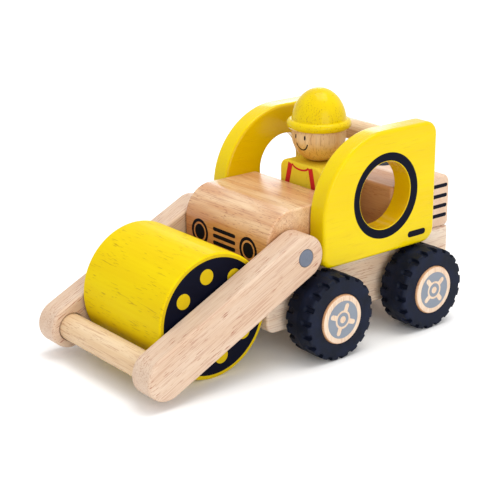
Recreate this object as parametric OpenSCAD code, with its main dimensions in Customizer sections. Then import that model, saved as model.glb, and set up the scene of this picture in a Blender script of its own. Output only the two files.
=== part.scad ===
// Toy road roller: a wooden body on four rubber tyres, a driver between two side panels,
// and a hinged frame that carries a free-turning drum.
// Frame: +X forward, +Y to the driver's left, +Z up, Z = 0 on the floor.
// X = 0 is half-way along the whole toy, and Y = 0 is its middle plane.

/* [Chassis] */
// Width of the chassis and of the two blocks on it
body_w = 72; // [64:1:76]
// Rear face of the chassis and the rear block
body_rear_x = -113.4; // [-118:0.1:-108]
// Front face of the chassis
chassis_front_x = 25; // [22:0.1:25.3]
// Height of the underside of the chassis above the floor
chassis_bottom_z = 14.7; // [10:0.1:17]
// Height of the top of the chassis above the floor
chassis_top_z = 49; // [48:0.1:51]
// Radius of the lower front edge of the chassis
chassis_nose_r = 6; // [2:0.5:9]
// Radius of the rear edges of the chassis and the rear block
rear_edge_r = 3; // [1:0.5:4]

/* [Blocks] */
// Front face of the hood
hood_front_x = 25.1; // [20:0.1:25.3]
// Rear face of the hood
hood_rear_x = -26.4; // [-28:0.1:-24]
// Height of the top of the hood
hood_top_z = 81.9; // [74:0.1:81.9]
// Radius of the bend from the hood's top to its front
hood_bend_r = 17.1; // [10:0.1:24]
// Front face of the rear block
rear_block_front_x = -65.5; // [-68:0.5:-62]
// Height of the top of the rear block
rear_block_top_z = 80.4; // [78:0.1:88]
// Radius of the rear block's upper rear edge
rear_block_top_r = 5.5; // [1:0.5:12]

/* [Side panels] */
// Thickness of a side panel
panel_t = 12.4; // [12:0.1:16]
// Rear edge of the panels
panel_rear_x = -88; // [-90:0.1:-84]
// Front edge of the panels
panel_front_x = -3.6; // [-8:0.1:-3]
// Height of the lower edge of the panels
panel_bottom_z = 48.2; // [48:0.1:51]
// Height of the upper edge of the panels
panel_top_z = 118.2; // [114:0.1:122]
// Radius of the large curve at the front of a panel
panel_sweep_r = 44.1; // [35:0.1:48]
// Radius of a panel's two rear corners
panel_rear_r = 8; // [3:0.5:12]
// Radius of a panel's lower front corner
panel_foot_r = 6.5; // [3:0.5:10]
// Radius of the round window
window_r = 18.9; // [14:0.1:20]
// Centre of the window along the toy
window_x = -48.5; // [-50:0.1:-46]
// Height of the window's centre
window_z = 81.9; // [80:0.1:85]
// Radius of the bar that joins the panels at the top
roof_bar_r = 6; // [4:0.1:7]
// Place of the roof bar along the toy
roof_bar_x = -72.8; // [-75:0.1:-71]
// Height of the roof bar's centre
roof_bar_z = 105.4; // [104:0.1:107]

/* [Wheels] */
// Distance between the two axles
wheelbase = 70.2; // [68:0.1:72]
// Rear axle along the toy
rear_axle_x = -77.1; // [-78:0.1:-76]
// Outer radius of a tyre, which is also the height of the axles
tyre_r = 23.5; // [22:0.1:23.6]
// Width of a tyre
tyre_w = 19.2; // [14:0.1:20]
// Outer face of a tyre from the middle plane
tyre_outer_y = 59.6; // [58.5:0.1:60.5]
// Radius of a hub's face
hub_r = 13.9; // [12:0.1:15]
// Outer face of a hub from the middle plane
hub_face_y = 60.7; // [60.6:0.1:61.5]
// Radius of the axles
axle_r = 4; // [3:0.1:5]
// Number of notches round each shoulder of a tyre
notch_count = 19; // [12:1:26]

/* [Roller frame] */
// Inner face of the arms from the middle plane
arm_inner_y = 36.8; // [36.6:0.1:38]
// Thickness of an arm
arm_t = 15.5; // [12:0.1:16]
// Radius of an arm's round ends, half the arm's depth
arm_r = 12; // [10.5:0.1:12.2]
// Pivot of the frame along the toy
pivot_x = 12.1; // [11:0.1:13]
// Height of the pivot
pivot_z = 60.1; // [59:0.1:62]
// Centre of the arms' front ends along the toy
arm_end_x = 101.4; // [101:0.1:104]
// Height of the centre of the arms' front ends
arm_end_z = 17; // [15:0.1:19]
// Radius of the bar across the front of the arms
crossbar_r = 7.4; // [5:0.1:7.6]
// Radius of the painted heads of the pivot pins
pin_head_r = 4.8; // [4:0.1:5.5]

/* [Drum] */
// Radius of the drum
drum_r = 34.4; // [31:0.1:34.4]
// Length of the drum
drum_w = 71; // [60:0.5:71.5]
// Centre of the drum along the toy
drum_x = 60.2; // [60.2:0.1:61]
// Rounding of the drum's two rims
drum_rim_r = 1.2; // [0.5:0.1:3]
// Radius of the drum's axle
drum_axle_r = 5; // [4:0.1:6]

/* [Driver] */
// Driver's middle line along the toy
driver_x = -42.6; // [-44:0.1:-42]
// Front to back of the driver's body
driver_depth = 27.4; // [24:0.1:28]
// Width of the driver's body
driver_w = 35; // [30:0.5:38]
// Height of the driver's shoulders
shoulder_z = 93.1; // [90:0.1:95]
// Radius of the driver's shoulders
shoulder_r = 5; // [2:0.5:8]
// Radius of the driver's head
head_r = 15.4; // [13:0.1:16]
// Radius of the helmet's dome
dome_r = 15.7; // [15.6:0.1:17]
// Outer radius of the helmet's brim
brim_r = 18.3; // [17.5:0.1:20]
// Thickness of the helmet's brim
brim_t = 5.4; // [4:0.1:7]
// Height of the middle of the brim
brim_z = 114.6; // [113:0.1:116]
// Height of the top of the helmet
helmet_top_z = 134.6; // [131:0.1:137]
// Radius of the peg under the driver
peg_r = 4; // [3:0.1:5]

/* [Hidden] */
$fn = 96;

running_gap = 0.06;   // between a turning shaft and its bore
glue_gap = 0.05;      // round a glued dowel
half_w = body_w / 2;
front_axle_x = rear_axle_x + wheelbase;
tread_x = [rear_axle_x, front_axle_x];
tyre_inner_y = tyre_outer_y - tyre_w;

natural = "burlywood";
painted = "gold";
print_black = "#1e2130";
pin_paint = "slategray";

// Dowels that locate the two blocks on the chassis: places along the toy
dowel_r = 4;
dowel_bite = 12;
block_dowel_x = [-102, -75, -15, 5];
// Dowels that hold the panels to the blocks: [x, z]
panel_dowel_r = 3;
panel_dowel_at = [[-74.5, 60], [-74.5, 74], [-15.8, 60], [-15.8, 74]];

pin_shank_r = 3.2;
pin_head_t = 3;
pin_bite = 14;
crossbar_bite = 8;
crossbar_gap = 0.35;
drum_axle_bite = 9;

hub_seat_r = hub_r - 1.1;
hub_lip = 2.2;
hub_boss_r = 8;
hub_print_y = 55;
hub_edge_r = 1.2;
tyre_shoulder_r = 1.4;
notch_w = 3.2;
notch_depth = 2;
notch_run = 6;

neck_r = 2.5;
peg_out = 12;
peg_in = 14;
head_z = brim_z - 6.6;

// A rectangle in the plane with its own radius at each corner:
// r = [low left, low right, high right, high left]
module corner_plate(x0, x1, z0, z1, r) {
    at = [[x0, z0, 1, 1], [x1, z0, -1, 1], [x1, z1, -1, -1], [x0, z1, 1, -1]];
    difference() {
        translate([x0, z0]) square([x1 - x0, z1 - z0]);
        for (i = [0:3]) if (r[i] > 0)
            translate([at[i][0], at[i][1]]) scale([at[i][2], at[i][3]])
                difference() {
                    translate([-1, -1]) square(r[i] + 1);
                    translate([r[i], r[i]]) circle(r[i]);
                }
    }
}

// Stands an outline of the X-Z plane up and gives it a thickness from y0 to y1
module across(y0, y1) {
    translate([0, y1, 0]) rotate([90, 0, 0]) linear_extrude(y1 - y0) children();
}

// A cylinder along Y from y0 to y1
module rod(x, z, r, y0, y1) {
    translate([x, y1, z]) rotate([90, 0, 0]) cylinder(r = r, h = y1 - y0);
}

// A solid of revolution about Y, from an outline of [radius, distance from the middle plane]
module turned(x, z, side = 1) {
    translate([x, 0, z]) scale([1, side, 1]) rotate([-90, 0, 0]) rotate_extrude() children();
}

module chassis() {
    color(natural) difference() {
        across(-half_w, half_w)
            corner_plate(body_rear_x, chassis_front_x, chassis_bottom_z, chassis_top_z,
                [rear_edge_r, chassis_nose_r, 0, 0]);
        for (x = tread_x) rod(x, tyre_r, axle_r + running_gap, -half_w - 1, half_w + 1);
        for (x = block_dowel_x)
            translate([x, 0, chassis_top_z - dowel_bite - 0.5])
                cylinder(r = dowel_r + glue_gap, h = dowel_bite + 1);
        translate([driver_x, 0, chassis_top_z - peg_out - 1])
            cylinder(r = peg_r + running_gap, h = peg_out + 2);
    }
}

module block_dowel_holes() {
    for (x = block_dowel_x)
        translate([x, 0, chassis_top_z - 1]) cylinder(r = dowel_r + glue_gap, h = dowel_bite + 1.5);
}

module panel_dowel_holes() {
    for (p = panel_dowel_at)
        rod(p[0], p[1], panel_dowel_r + glue_gap, -half_w - 1, -half_w + 10.5);
    for (p = panel_dowel_at)
        rod(p[0], p[1], panel_dowel_r + glue_gap, half_w - 10.5, half_w + 1);
}

module hood_block() {
    color(natural) difference() {
        across(-half_w, half_w)
            corner_plate(hood_rear_x, hood_front_x, chassis_top_z, hood_top_z,
                [0, 0, hood_bend_r, 0]);
        block_dowel_holes();
        panel_dowel_holes();
        for (y = [-half_w - 1, half_w - pin_bite - 0.3])
            rod(pivot_x, pivot_z, pin_shank_r + glue_gap, y, y + pin_bite + 1.3);
    }
}

module rear_block() {
    color(natural) difference() {
        across(-half_w, half_w)
            corner_plate(body_rear_x, rear_block_front_x, chassis_top_z, rear_block_top_z,
                [rear_edge_r, 0, 0, rear_block_top_r]);
        block_dowel_holes();
        panel_dowel_holes();
    }
}

module block_dowels() {
    color(natural) for (x = block_dowel_x)
        translate([x, 0, chassis_top_z - dowel_bite]) cylinder(r = dowel_r, h = 2 * dowel_bite);
}

module side_panel(side) {
    inner = side > 0 ? half_w : -half_w - panel_t;
    blind = side > 0 ? half_w - 1 : -half_w - 10.5;
    color(painted) difference() {
        across(inner, inner + panel_t)
            corner_plate(panel_rear_x, panel_front_x, panel_bottom_z, panel_top_z,
                [panel_rear_r, panel_foot_r, panel_sweep_r, panel_rear_r]);
        rod(window_x, window_z, window_r, inner - 1, inner + panel_t + 1);
        for (p = panel_dowel_at) rod(p[0], p[1], panel_dowel_r + glue_gap, blind, blind + 11.5);
        rod(roof_bar_x, roof_bar_z, roof_bar_r + glue_gap, blind, blind + 11.5);
    }
}

module left_side_panel() side_panel(1);
module right_side_panel() side_panel(-1);

module panel_dowels() {
    color(natural) for (p = panel_dowel_at, s = [-1, 1])
        rod(p[0], p[1], panel_dowel_r, s * half_w - 10, s * half_w + 10);
}

module roof_bar() {
    color(natural) rod(roof_bar_x, roof_bar_z, roof_bar_r, -half_w - 10, half_w + 10);
}

// The head lies flush in the arm's counterbore, and the shank is glued into the hood
module pivot_pin(side) {
    outer = arm_inner_y + arm_t;
    color(pin_paint) turned(pivot_x, pivot_z, side) polygon([
        [0, half_w - pin_bite], [pin_shank_r - 0.6, half_w - pin_bite],
        [pin_shank_r, half_w - pin_bite + 0.6], [pin_shank_r, outer - pin_head_t],
        [pin_head_r, outer - pin_head_t], [pin_head_r, outer - 0.4],
        [pin_head_r - 0.4, outer], [0, outer]]);
}

module left_pivot_pin() pivot_pin(1);
module right_pivot_pin() pivot_pin(-1);

module arm(side) {
    span = [arm_end_x - pivot_x, arm_end_z - pivot_z];
    y0 = side > 0 ? arm_inner_y : -arm_inner_y - arm_t;
    face = side * arm_inner_y;
    outer = side * (arm_inner_y + arm_t);
    end_r = arm_r - 0.05;
    color(natural) difference() {
        across(y0, y0 + arm_t)
            translate([pivot_x, pivot_z]) rotate(atan2(span[1], span[0]))
                corner_plate(-arm_r, norm(span) + arm_r, -arm_r, arm_r, [end_r, end_r, end_r, end_r]);
        rod(pivot_x, pivot_z, pin_shank_r + running_gap, y0 - 1, y0 + arm_t + 1);
        rod(pivot_x, pivot_z, pin_head_r + 0.15,
            min(outer - side * (pin_head_t + 0.1), outer + side),
            max(outer - side * (pin_head_t + 0.1), outer + side));
        rod(arm_end_x, arm_end_z, crossbar_r + crossbar_gap,
            min(face - side, face + side * (crossbar_bite + 0.2)),
            max(face - side, face + side * (crossbar_bite + 0.2)));
        rod(drum_x, drum_r, drum_axle_r + glue_gap,
            min(face - side, face + side * (drum_axle_bite + 0.2)),
            max(face - side, face + side * (drum_axle_bite + 0.2)));
    }
}

module left_arm() arm(1);
module right_arm() arm(-1);

module front_crossbar() {
    reach = arm_inner_y + crossbar_bite;
    color(natural) rod(arm_end_x, arm_end_z, crossbar_r, -reach, reach);
}

module drum_axle() {
    reach = arm_inner_y + drum_axle_bite;
    color(natural) rod(drum_x, drum_r, drum_axle_r, -reach, reach);
}

module drum() {
    bore = drum_axle_r + running_gap;
    color(painted) turned(drum_x, drum_r)
        corner_plate(bore, drum_r, -drum_w / 2, drum_w / 2, [0, drum_rim_r, drum_rim_r, 0]);
}

module wheel_axle(x) {
    color(natural) rod(x, tyre_r, axle_r, -hub_print_y, hub_print_y);
}

module front_axle() wheel_axle(front_axle_x);
module rear_axle() wheel_axle(rear_axle_x);

// A turned wooden hub: a boss against the chassis, a seat for the tyre and a proud rounded face
module hub(x, side) {
    color("wheat") turned(x, tyre_r, side) difference() {
        union() {
            translate([0, half_w + 0.6]) square([hub_boss_r, tyre_outer_y - half_w - 0.6]);
            translate([0, tyre_inner_y + 0.8]) square([hub_seat_r, tyre_w - 0.8]);
            corner_plate(0, hub_r, tyre_outer_y - hub_lip, hub_face_y, [0, 0, hub_edge_r, 0]);
        }
        translate([-1, 0]) square([axle_r + glue_gap + 1, hub_print_y + 0.2]);
    }
}

module front_left_hub() hub(front_axle_x, 1);
module front_right_hub() hub(front_axle_x, -1);
module rear_left_hub() hub(rear_axle_x, 1);
module rear_right_hub() hub(rear_axle_x, -1);

// Cross-section of a tyre as [radius, distance from the middle plane]
module tyre_section() {
    bead = hub_seat_r + glue_gap;
    difference() {
        corner_plate(bead, tyre_r, tyre_inner_y, tyre_outer_y,
            [0, tyre_shoulder_r, tyre_shoulder_r, 0]);
        translate([0, tyre_outer_y - hub_lip - 0.1]) square([hub_r + glue_gap, hub_lip + 1]);
    }
}

// One notch: it opens on the side at y = 0 and runs in towards -Y, with a rounded inner end
module notch() {
    end_r = notch_w / 2 - 0.05;
    translate([0, 0, tyre_r - notch_depth]) linear_extrude(2 * notch_depth)
        corner_plate(-notch_w / 2, notch_w / 2, -notch_run, 1, [end_r, end_r, 0, 0]);
}

// The notches of the two shoulders are staggered by half a pitch
module tyre(x, side) {
    color(print_black) difference() {
        turned(x, tyre_r, side) tyre_section();
        for (i = [0:notch_count - 1])
            translate([x, 0, tyre_r]) rotate([0, i * 360 / notch_count, 0])
                translate([0, side * tyre_outer_y, 0]) scale([1, side, 1]) notch();
        for (i = [0:notch_count - 1])
            translate([x, 0, tyre_r]) rotate([0, (i + 0.5) * 360 / notch_count, 0])
                translate([0, side * tyre_inner_y, 0]) scale([1, -side, 1]) notch();
    }
}

module front_left_tyre() tyre(front_axle_x, 1);
module front_right_tyre() tyre(front_axle_x, -1);
module rear_left_tyre() tyre(rear_axle_x, 1);
module rear_right_tyre() tyre(rear_axle_x, -1);

module driver_body() {
    color("goldenrod") difference() {
        translate([driver_x - driver_depth / 2, 0, 0]) rotate([90, 0, 90])
            linear_extrude(driver_depth)
                corner_plate(-driver_w / 2, driver_w / 2, chassis_top_z, shoulder_z,
                    [0, 0, shoulder_r, shoulder_r]);
        translate([driver_x, 0, chassis_top_z - 1]) cylinder(r = peg_r + glue_gap, h = peg_in + 1.2);
        translate([driver_x, 0, shoulder_z - 8]) cylinder(r = neck_r + glue_gap, h = 9);
    }
}

module driver_head() {
    color("burlywood") difference() {
        intersection() {
            translate([driver_x, 0, head_z]) sphere(head_r);
            translate([driver_x, 0, shoulder_z]) cylinder(r = head_r + 1, h = brim_z - shoulder_z);
        }
        translate([driver_x, 0, shoulder_z - 1]) cylinder(r = neck_r + glue_gap, h = 9.2);
    }
}

// A domed cap with a rolled brim, glued on the head's flat top
module driver_helmet() {
    dome_h = helmet_top_z - brim_z;
    roll = brim_t / 2;
    color(painted) translate([driver_x, 0, brim_z]) {
        rotate_extrude() intersection() {
            scale([1, dome_h / dome_r]) circle(dome_r);
            square([dome_r, dome_h]);
        }
        difference() {
            rotate_extrude() {
                translate([brim_r - roll, 0]) circle(roll);
                translate([0, -roll]) square([brim_r - roll, brim_t]);
            }
            translate([0, 0, -brim_t]) cylinder(r = head_r + 0.1, h = brim_t);
        }
    }
}

module neck_dowel() {
    color(natural) translate([driver_x, 0, shoulder_z - 7.5]) cylinder(r = neck_r, h = 15);
}

module seat_peg() {
    color(natural) translate([driver_x, 0, chassis_top_z - peg_out])
        cylinder(r = peg_r, h = peg_out + peg_in);
}

chassis();
hood_block();
rear_block();
block_dowels();
left_side_panel();
right_side_panel();
panel_dowels();
roof_bar();
left_pivot_pin();
right_pivot_pin();
left_arm();
right_arm();
front_crossbar();
drum_axle();
drum();
front_axle();
front_left_hub();
front_right_hub();
front_left_tyre();
front_right_tyre();
rear_axle();
rear_left_hub();
rear_right_hub();
rear_left_tyre();
rear_right_tyre();
driver_body();
driver_head();
driver_helmet();
neck_dowel();
seat_peg();
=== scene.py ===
import math

import bmesh
import bpy
from mathutils import Matrix, Vector


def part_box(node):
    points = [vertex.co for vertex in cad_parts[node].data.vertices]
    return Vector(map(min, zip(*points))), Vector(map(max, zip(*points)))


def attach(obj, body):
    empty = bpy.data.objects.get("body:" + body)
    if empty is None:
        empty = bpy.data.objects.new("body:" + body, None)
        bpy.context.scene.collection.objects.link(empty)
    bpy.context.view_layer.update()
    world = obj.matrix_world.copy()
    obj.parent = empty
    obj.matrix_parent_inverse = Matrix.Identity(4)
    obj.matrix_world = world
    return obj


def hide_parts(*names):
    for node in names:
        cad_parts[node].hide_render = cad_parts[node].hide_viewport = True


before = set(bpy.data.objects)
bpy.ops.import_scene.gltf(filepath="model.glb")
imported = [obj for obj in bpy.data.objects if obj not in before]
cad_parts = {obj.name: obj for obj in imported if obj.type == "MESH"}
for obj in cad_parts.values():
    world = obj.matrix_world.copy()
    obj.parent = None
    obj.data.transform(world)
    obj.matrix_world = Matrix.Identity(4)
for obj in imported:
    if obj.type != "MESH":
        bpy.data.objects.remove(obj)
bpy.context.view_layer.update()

MM = 0.001

# ---------------------------------------------------------------- dimensions

HOOD_LOW, HOOD_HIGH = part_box("hood_block")
REAR_LOW, REAR_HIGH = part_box("rear_block")
CHASSIS_LOW, CHASSIS_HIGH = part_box("chassis")
PANEL_LOW, PANEL_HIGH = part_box("left_side_panel")
ARM_LOW, ARM_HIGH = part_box("left_arm")
CROSSBAR_LOW, CROSSBAR_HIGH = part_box("front_crossbar")
ROOF_BAR_LOW, ROOF_BAR_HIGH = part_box("roof_bar")
PIN_LOW, PIN_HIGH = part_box("left_pivot_pin")
DRUM_LOW, DRUM_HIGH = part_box("drum")
DRUM_AXLE_LOW, DRUM_AXLE_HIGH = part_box("drum_axle")
BODY_LOW, BODY_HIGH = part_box("driver_body")
HEAD_LOW, HEAD_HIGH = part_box("driver_head")
HELMET_LOW, HELMET_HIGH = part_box("driver_helmet")
PEG_LOW, PEG_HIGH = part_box("seat_peg")
NECK_LOW, NECK_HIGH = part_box("neck_dowel")
TYRE_LOW, TYRE_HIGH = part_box("front_left_tyre")
HUB_LOW, HUB_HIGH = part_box("front_left_hub")
AXLE_LOW, AXLE_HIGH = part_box("front_axle")

HALF_BODY = HOOD_HIGH.y
HOOD_BEND = 17.1 * MM
HOOD_FOOT = 1.8 * MM
HOOD_EDGE = 1.2 * MM
REAR_TOP_R = 5.5 * MM
REAR_FOOT_R = 3 * MM
CHASSIS_NOSE_R = 6 * MM
CHASSIS_REAR_R = 3 * MM
PANEL_SWEEP = 44.1 * MM
PANEL_REAR_R = 8 * MM
PANEL_FOOT_R = 6.5 * MM
WINDOW_R = 18.9 * MM
WINDOW = (-48.5 * MM, 81.9 * MM)
WINDOW_RING = (-49.1 * MM, 81.6 * MM)
WINDOW_RING_R = 24.2 * MM
BOARD_EDGE = 1.6 * MM
PANEL_EDGE = 2.0 * MM
ARM_EDGE = 1.7 * MM
WINDOW_EDGE = 0.5 * MM
GLUE_GAP = 0.05 * MM
RUNNING_GAP = 0.06 * MM
COUNTERBORE_GAP = 0.15 * MM
COUNTERBORE_DEPTH = 3.1 * MM
CROSSBAR_GAP = 0.35 * MM
CROSSBAR_HOLE = 8.2 * MM
DRUM_AXLE_HOLE = 9.2 * MM
ROOF_BAR_GAP = 0.1 * MM
ROOF_BAR_HOLE = 10.2 * MM
PIN_SHANK_R = 3.2 * MM
PIN_HEAD_T = 3 * MM
PIN_HOLE = 14 * MM
DRUM_RIM = 1.4 * MM
HUB_EDGE = 1.3 * MM
HUB_LIP = 2.2 * MM
HUB_SEAT_INSET = 1.1 * MM
HUB_BOSS_R = 8 * MM
HUB_SEAT_BACK = 0.8 * MM
BODY_EDGE = 1.3 * MM
BODY_FOOT_R = 1.8 * MM
SHOULDER_R = 5 * MM
BRIM_T = 5.4 * MM
DOME_R = 15.7 * MM
NOTCHES = 19
NOTCH_W = 3.2 * MM
NOTCH_RUN = 6.0 * MM
NOTCH_DEPTH = 2.0 * MM
TYRE_SHOULDER = 1.4 * MM
MOULD_LINE = 0.12 * MM

PIN_R = (PIN_HIGH.x - PIN_LOW.x) / 2
PIVOT = ((PIN_HIGH.x + PIN_LOW.x) / 2, (PIN_HIGH.z + PIN_LOW.z) / 2)
CROSSBAR_R = (CROSSBAR_HIGH.z - CROSSBAR_LOW.z) / 2
ARM_TIP = ((CROSSBAR_HIGH.x + CROSSBAR_LOW.x) / 2, (CROSSBAR_HIGH.z + CROSSBAR_LOW.z) / 2)
ARM_R = ARM_HIGH.x - ARM_TIP[0]
DRUM_R = (DRUM_HIGH.z - DRUM_LOW.z) / 2
DRUM_AT = ((DRUM_HIGH.x + DRUM_LOW.x) / 2, (DRUM_HIGH.z + DRUM_LOW.z) / 2)
DRUM_AXLE_R = (DRUM_AXLE_HIGH.z - DRUM_AXLE_LOW.z) / 2
TYRE_R = (TYRE_HIGH.z - TYRE_LOW.z) / 2
HUB_R = (HUB_HIGH.z - HUB_LOW.z) / 2
AXLE_R = (AXLE_HIGH.z - AXLE_LOW.z) / 2
HEAD_R = (HEAD_HIGH.x - HEAD_LOW.x) / 2
BRIM_R = (HELMET_HIGH.x - HELMET_LOW.x) / 2
BRIM_Z = HELMET_LOW.z + BRIM_T / 2
DRIVER_X = (BODY_HIGH.x + BODY_LOW.x) / 2
HEAD_UNDER_BRIM = 6.6 * MM
HEAD_Z = BRIM_Z - HEAD_UNDER_BRIM
PEG_R = (PEG_HIGH.x - PEG_LOW.x) / 2
NECK_R = (NECK_HIGH.x - NECK_LOW.x) / 2

# The direction along Y and the name of each side of the toy.
SIDES = ((1, "left"), (-1, "right"))


# ------------------------------------------------------------------ meshes

def arc(cx, cy, r, start, stop, steps):
    """Points of a circular arc, angles in degrees, both ends included."""
    angles = [math.radians(start + (stop - start) * i / steps) for i in range(steps + 1)]
    return [(cx + r * math.cos(a), cy + r * math.sin(a)) for a in angles]


def circle(cx, cy, r, count=96):
    """Points of a full circle, the first not repeated."""
    return arc(cx, cy, r, 0, 360 * (count - 1) / count, count - 1)


def corner_outline(u0, u1, v0, v1, radii, steps=12):
    """Function of an inset that gives a rectangle with its own radius at each corner.
    radii are low-left, low-right, high-right, high-left."""
    signs = [(1, 1, 180), (-1, 1, 270), (-1, -1, 0), (1, -1, 90)]
    corners = [(u0, v0), (u1, v0), (u1, v1), (u0, v1)]

    def outline(inset):
        points = []
        for (u, v), (su, sv, start), r in zip(corners, signs, radii):
            count = max(steps, round(steps * r / (8 * MM)))
            points += arc(u + su * r, v + sv * r, max(r - inset, 1e-6), start, start + 90, count)
        return points
    return outline


def add_ring(bm, place, points, w):
    """One closed ring of vertices at height w."""
    return [bm.verts.new(place(u, v, w)) for u, v in points]


def bridge(bm, a, b):
    """Quads between two rings of the same length."""
    n = len(a)
    for i in range(n):
        bm.faces.new((a[i], a[(i + 1) % n], b[(i + 1) % n], b[i]))


def ring_edges(bm, ring):
    """The edges round a closed ring, made where they are missing."""
    pairs = zip(ring, ring[1:] + ring[:1])
    return [bm.edges.get(pair) or bm.edges.new(pair) for pair in pairs]


def edge_rounding(e, steps=4):
    """(inset, drop) pairs from the flat face round to the side."""
    angles = [math.pi / 2 * i / steps for i in range(steps + 1)]
    return [(e * (1 - math.sin(a)), e * (1 - math.cos(a))) for a in angles]


def board(bm, outline, w0, w1, edge, place, holes=()):
    """A board from w0 to w1 with rounded edges. Each hole is (u, v, r, side, depth, edge):
    side 0 goes right through, and 1 or -1 is a blind hole in the face at w1 or w0."""
    rounding = edge_rounding(edge)
    top = [add_ring(bm, place, outline(i), w1 - d) for i, d in rounding]
    low = [add_ring(bm, place, outline(i), w0 + d) for i, d in rounding]
    rings = top + low[::-1]
    for a, b in zip(rings, rings[1:]):
        bridge(bm, a, b)
    rims = {1: ring_edges(bm, top[0]), -1: ring_edges(bm, low[0])}
    for u, v, r, side, depth, hole_edge in holes:
        rounded = [(r + i, d) for i, d in edge_rounding(hole_edge)]
        count = max(32, round(r / MM * 6))
        walls = {}
        for s in ((1, -1) if side == 0 else (side,)):
            face = w1 if s > 0 else w0
            walls[s] = [add_ring(bm, place, circle(u, v, q, count), face - s * d)
                        for q, d in rounded]
            rims[s] += ring_edges(bm, walls[s][0])
        if side == 0:
            chain = walls[1] + walls[-1][::-1]
        else:
            face = w1 if side > 0 else w0
            chain = walls[side] + [add_ring(bm, place, circle(u, v, r, count),
                                            face - side * depth)]
            bm.faces.new(chain[-1])
        for a, b in zip(chain, chain[1:]):
            bridge(bm, a, b)
    for edges in rims.values():
        bmesh.ops.triangle_fill(bm, use_beauty=True, use_dissolve=False, edges=edges)


def lathe(bm, profile, place, segments=96):
    """Turns a profile of (radius, w). Radius 0 closes the end."""
    rings = []
    for r, w in profile:
        if r < 1e-7:
            rings.append([bm.verts.new(place(0, 0, w))])
        else:
            rings.append(add_ring(bm, place, circle(0, 0, r, segments), w))
    for a, b in zip(rings, rings[1:]):
        if len(a) == 1 or len(b) == 1:
            pole, ring = (a[0], b) if len(a) == 1 else (b[0], a)
            for i in range(segments):
                bm.faces.new((pole, ring[i], ring[(i + 1) % segments]))
        else:
            bridge(bm, a, b)


def xz(u, v, w):
    """A board standing in the X-Z plane: w runs along Y."""
    return Vector((u, w, v))


def yz(u, v, w):
    """A board standing in the Y-Z plane: w runs along X."""
    return Vector((w, u, v))


def about_y(x, z, side=1):
    """Placing for a lathe about Y."""
    return lambda u, v, w: Vector((x + u, side * w, z + v))


def about_z(x, y):
    """Placing for a lathe about Z."""
    return lambda u, v, w: Vector((x + u, y + v, w))


def finish_mesh(name, bm, material, body, nodes=()):
    """Makes the object, smooths it with face-weighted normals, and lets it ride."""
    bmesh.ops.recalc_face_normals(bm, faces=bm.faces)
    for face in bm.faces:
        face.smooth = True
    mesh = bpy.data.meshes.new(name)
    bm.to_mesh(mesh)
    bm.free()
    mesh.materials.append(material)
    piece = bpy.data.objects.new(name, mesh)
    bpy.context.scene.collection.objects.link(piece)
    mesh.set_sharp_from_angle(angle=math.radians(42))
    shading = piece.modifiers.new("face_weighted", "WEIGHTED_NORMAL")
    shading.keep_sharp = True
    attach(piece, body)
    if nodes:
        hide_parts(*nodes)
    return piece


# ---------------------------------------------------------------- materials

ALBEDO = 0.74


def srgb(r, g, b):
    """Linear base colour for an 8-bit screen colour, as seen in light that just clips white paper.

    A value may pass 255, where a bright paint stands in shade: the base colour stays below 1."""
    def one(c):
        c = c / 255
        linear = c / 12.92 if c <= 0.04045 else ((c + 0.055) / 1.055) ** 2.4
        return linear * ALBEDO
    return (one(r), one(g), one(b), 1)


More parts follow.
